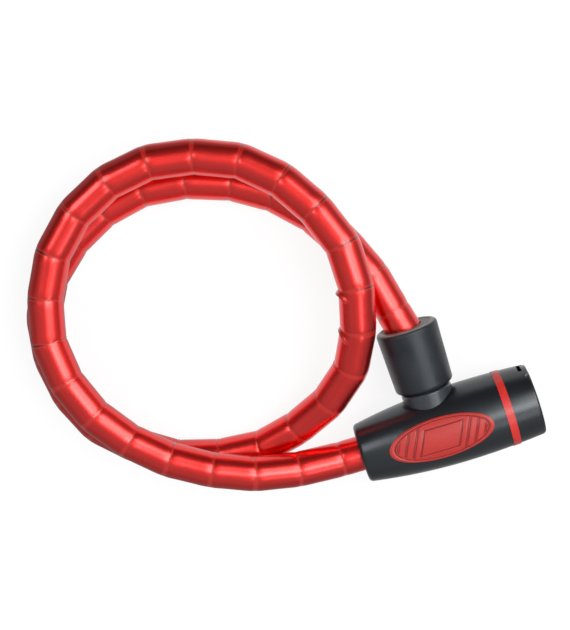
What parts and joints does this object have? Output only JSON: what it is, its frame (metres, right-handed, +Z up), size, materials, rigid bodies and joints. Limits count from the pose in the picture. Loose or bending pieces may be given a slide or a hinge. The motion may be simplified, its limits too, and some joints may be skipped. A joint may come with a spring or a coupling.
{
  "type": "armoured key cable lock",
  "caption": "Key lock with a tapered barrel head, a side socket and plug, and an armoured steel cable in a translucent vinyl sleeve.",
  "frame": {"origin": "on the table, under the middle of the box round the lock head and its plug, without the cable", "axes": "+X along the barrel from its cable end to its key end, +Y along the plug as it pulls out, +Z up"},
  "size_m": [0.2386, 0.2041, 0.0465],
  "materials": {
    "black_plastic": "satin moulded plastic with a fine grain",
    "ring_red": "smooth moulded plastic",
    "badge_red": "satin moulded plastic with raised lines",
    "cast_zinc": "as cast, light grey",
    "neck_steel": "dark grey plated steel, satin",
    "seal_rubber": "soft black rubber",
    "brass": "turned brass",
    "spring_steel": "bright spring wire",
    "screw_steel": "zinc plated steel",
    "latch_steel": "hardened steel plate",
    "pin_steel": "hardened and plated steel",
    "collar_grip": "dark grey soft-touch plastic",
    "bush_plastic": "grey plastic, satin",
    "rope_steel": "twisted steel wire",
    "armour_steel": "bright steel shells",
    "sleeve_vinyl": "translucent red vinyl, glossy"
  },
  "bodies": {
    "head": {"lock_housing": "cast_zinc", "barrel_shell": "black_plastic", "key_end_cap": "black_plastic", "accent_ring": "ring_red", "badge": "badge_red", "socket_neck": "neck_steel", "neck_seal": "seal_rubber", "cylinder_body": "brass", "cylinder_screw": "screw_steel", "driver_pins": "brass", "pin_springs": "spring_steel", "latch_spring": "spring_steel", "hinge_pin": "screw_steel", "fixed_crimp": "cast_zinc", "fixed_crimp_pin": "screw_steel", "wire_rope": "rope_steel", "armour_shells": "armour_steel", "cable_sleeve": "sleeve_vinyl"},
    "key_core": {"key_plug": "brass", "key_pins": "brass", "drive_cam": "latch_steel", "cam_screw": "screw_steel"},
    "slide_latch": {"latch": "latch_steel"},
    "cover": {"dust_cover": "black_plastic"},
    "plug_end": {"locking_pin": "pin_steel", "collar": "collar_grip", "collar_bush": "bush_plastic", "plug_crimp": "cast_zinc", "plug_crimp_pin": "screw_steel", "wire_rope_tail": "rope_steel", "armour_shells_tail": "armour_steel", "cable_sleeve_tail": "sleeve_vinyl"}
  },
  "joints": [
    {"name": "plug_slide", "type": "slide", "parent": "head", "child": "plug_end", "axis": [0, 1, 0], "range_m": [0, 0.0255], "deforming": ["cable_sleeve_tail", "armour_shells_tail", "wire_rope_tail"]},
    {"name": "key_turn", "type": "hinge", "parent": "head", "child": "key_core", "pos_m": [0.02, -0.01815, 0.02], "axis": [-1, 0, 0], "range_deg": [0, 90]},
    {"name": "latch_slide", "type": "slide", "parent": "head", "child": "slide_latch", "axis": [0, 0, -1], "range_m": [0, 0.005], "deforming": ["latch_spring"]},
    {"name": "cover_swing", "type": "hinge", "parent": "head", "child": "cover", "pos_m": [0.045, -0.0029, 0.02], "axis": [0, 0, 1], "range_deg": [0, 100]}
  ],
  "couplings": [
    {"joint": "latch_slide", "follows": "key_turn", "m_per_rad": 0.003183}
  ]
}
